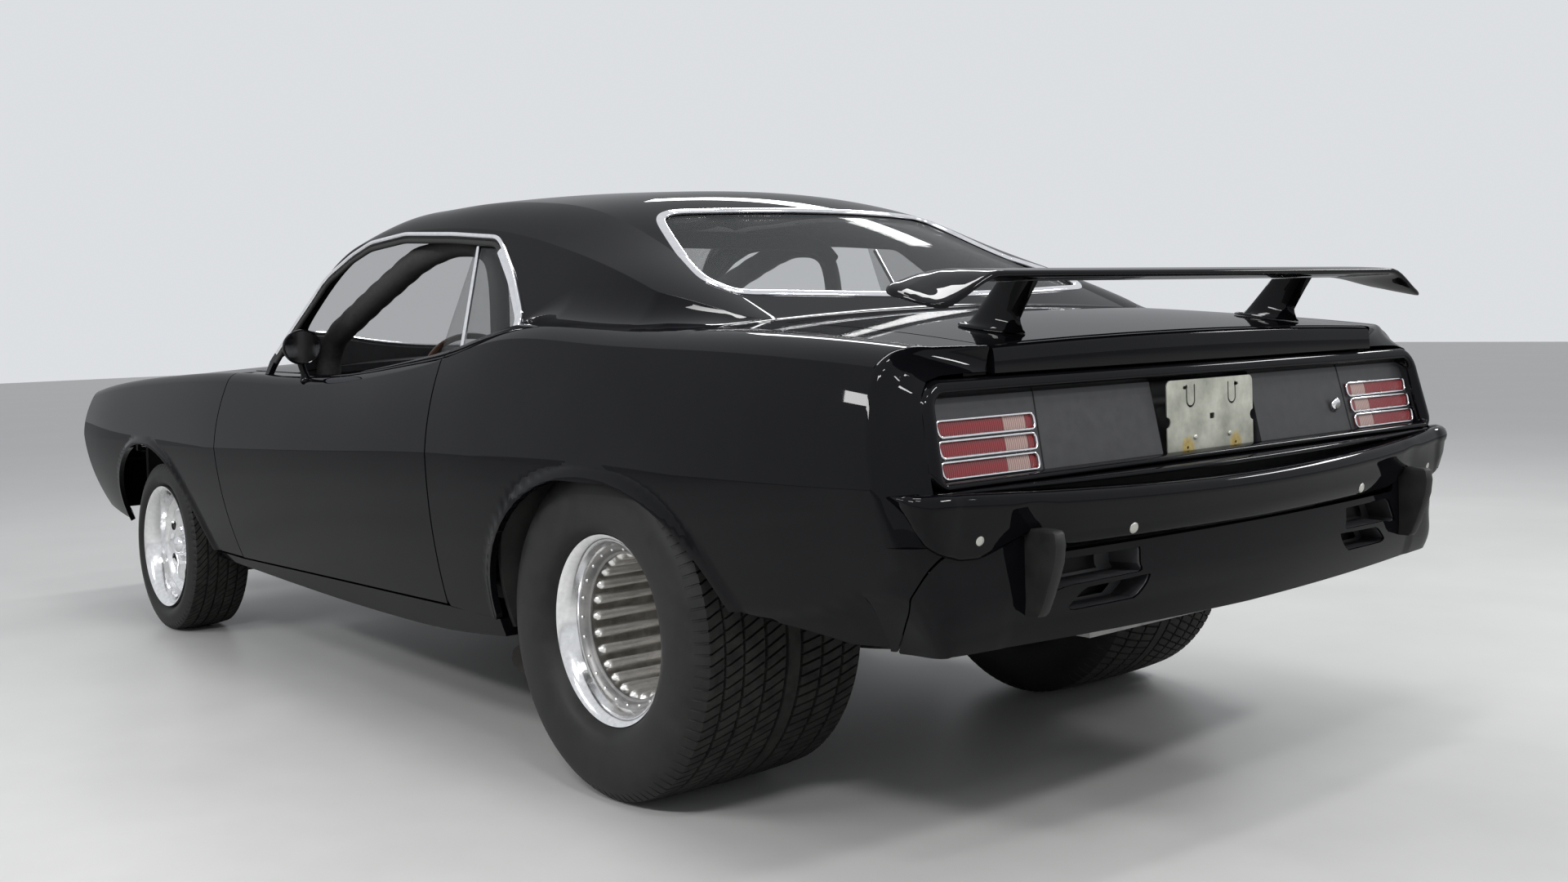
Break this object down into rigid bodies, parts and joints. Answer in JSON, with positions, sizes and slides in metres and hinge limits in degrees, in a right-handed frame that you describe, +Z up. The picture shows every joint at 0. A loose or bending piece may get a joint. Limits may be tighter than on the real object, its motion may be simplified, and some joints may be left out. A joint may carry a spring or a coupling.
{
  "type": "muscle car",
  "caption": "Two-door hardtop muscle car with opening doors, hood and trunk lid, steering front wheels, wide rear tyres and a pedestal wing on the deck.",
  "frame": {"origin": "on the floor, under the middle of the car's overall box", "axes": "+X towards the nose, +Y towards the car's left side, +Z up"},
  "size_m": [4.742, 1.9094, 1.399],
  "materials": {
    "gloss_paint": "gloss black paint",
    "satin_paint": "satin black paint",
    "under_paint": "matt black underside coating",
    "polished_rim": "polished",
    "tyre_rubber": "matt rubber",
    "clear_glass": "lightly tinted",
    "lamp_lens": "red ribbed lens",
    "bright_trim": "bright",
    "zinc_steel": "galvanised",
    "black_vinyl": "grained black vinyl",
    "black_plastic": "grained",
    "cast_metal": "cast",
    "bare_steel": "plain steel",
    "exhaust_steel": "blackened"
  },
  "bodies": {
    "body": {"backlight": "clear_glass", "bumper_guards": "black_plastic", "cowl_firewall": "satin_paint", "dashboard": "black_plastic", "engine": "cast_metal", "exhausts": "exhaust_steel", "fender_left": "gloss_paint", "fender_right": "gloss_paint", "floor": "under_paint", "front_bumper": "gloss_paint", "front_frame": "under_paint", "front_suspension": "under_paint", "fuel_tank": "bare_steel", "gearbox_driveshaft": "bare_steel", "grille": "black_plastic", "headlamps": "bright_trim", "lamp_lenses": "lamp_lens", "nose_panel": "gloss_paint", "plate_bracket": "zinc_steel", "quarter_glass": "clear_glass", "quarter_left": "gloss_paint", "quarter_right": "gloss_paint", "rear_axle": "cast_metal", "rear_bumper": "gloss_paint", "rear_deck": "gloss_paint", "rear_valance": "gloss_paint", "rockers": "gloss_paint", "roof": "gloss_paint", "seat_front_left": "black_vinyl", "seat_front_right": "black_vinyl", "seat_rear": "black_vinyl", "steering_wheel": "black_plastic", "tail_lamps": "bright_trim", "tail_panel": "satin_paint", "windshield": "clear_glass"},
    "door_left": {"door_left": "gloss_paint", "mirror_left": "gloss_paint"},
    "door_right": {"door_right": "gloss_paint", "mirror_right": "gloss_paint"},
    "hood": {"hood": "gloss_paint"},
    "trunk_lid": {"trunk_lid": "gloss_paint", "wing": "gloss_paint"},
    "knuckle_left": {"knuckle_left": "cast_metal"},
    "knuckle_right": {"knuckle_right": "cast_metal"},
    "wheel_front_left": {"wheel_front_left": "polished_rim", "tyre_front_left": "tyre_rubber"},
    "wheel_front_right": {"wheel_front_right": "polished_rim", "tyre_front_right": "tyre_rubber"},
    "wheel_rear_left": {"wheel_rear_left": "polished_rim", "tyre_rear_left": "tyre_rubber"},
    "wheel_rear_right": {"wheel_rear_right": "polished_rim", "tyre_rear_right": "tyre_rubber"}
  },
  "joints": [
    {"name": "steer_left", "type": "hinge", "parent": "body", "child": "knuckle_left", "pos_m": [1.471, 0.7, 0.29], "axis": [0, 0, 1], "range_deg": [-33, 33]},
    {"name": "spin_front_left", "type": "hinge", "parent": "knuckle_left", "child": "wheel_front_left", "pos_m": [1.471, 0.78, 0.29], "axis": [0, 1, 0], "continuous": true},
    {"name": "spin_rear_left", "type": "hinge", "parent": "body", "child": "wheel_rear_left", "pos_m": [-1.272, 0.6, 0.37], "axis": [0, 1, 0], "continuous": true},
    {"name": "swing_door_left", "type": "hinge", "parent": "body", "child": "door_left", "pos_m": [0.78, 0.93, 0.6], "axis": [0, 0, -1], "range_deg": [0, 65]},
    {"name": "steer_right", "type": "hinge", "parent": "body", "child": "knuckle_right", "pos_m": [1.471, -0.7, 0.29], "axis": [0, 0, 1], "range_deg": [-33, 33]},
    {"name": "spin_front_right", "type": "hinge", "parent": "knuckle_right", "child": "wheel_front_right", "pos_m": [1.471, -0.78, 0.29], "axis": [0, 1, 0], "continuous": true},
    {"name": "spin_rear_right", "type": "hinge", "parent": "body", "child": "wheel_rear_right", "pos_m": [-1.272, -0.6, 0.37], "axis": [0, 1, 0], "continuous": true},
    {"name": "swing_door_right", "type": "hinge", "parent": "body", "child": "door_right", "pos_m": [0.78, -0.93, 0.6], "axis": [0, 0, 1], "range_deg": [0, 65]},
    {"name": "lift_hood", "type": "hinge", "parent": "body", "child": "hood", "pos_m": [0.881, 0, 0.936], "axis": [0, -1, 0], "range_deg": [0, 50]},
    {"name": "lift_trunk_lid", "type": "hinge", "parent": "body", "child": "trunk_lid", "pos_m": [-1.641, 0, 1.052], "axis": [0, 1, 0], "range_deg": [0, 50]}
  ],
  "couplings": [
    {"joint": "steer_right", "follows": "steer_left", "ratio": 1}
  ]
}
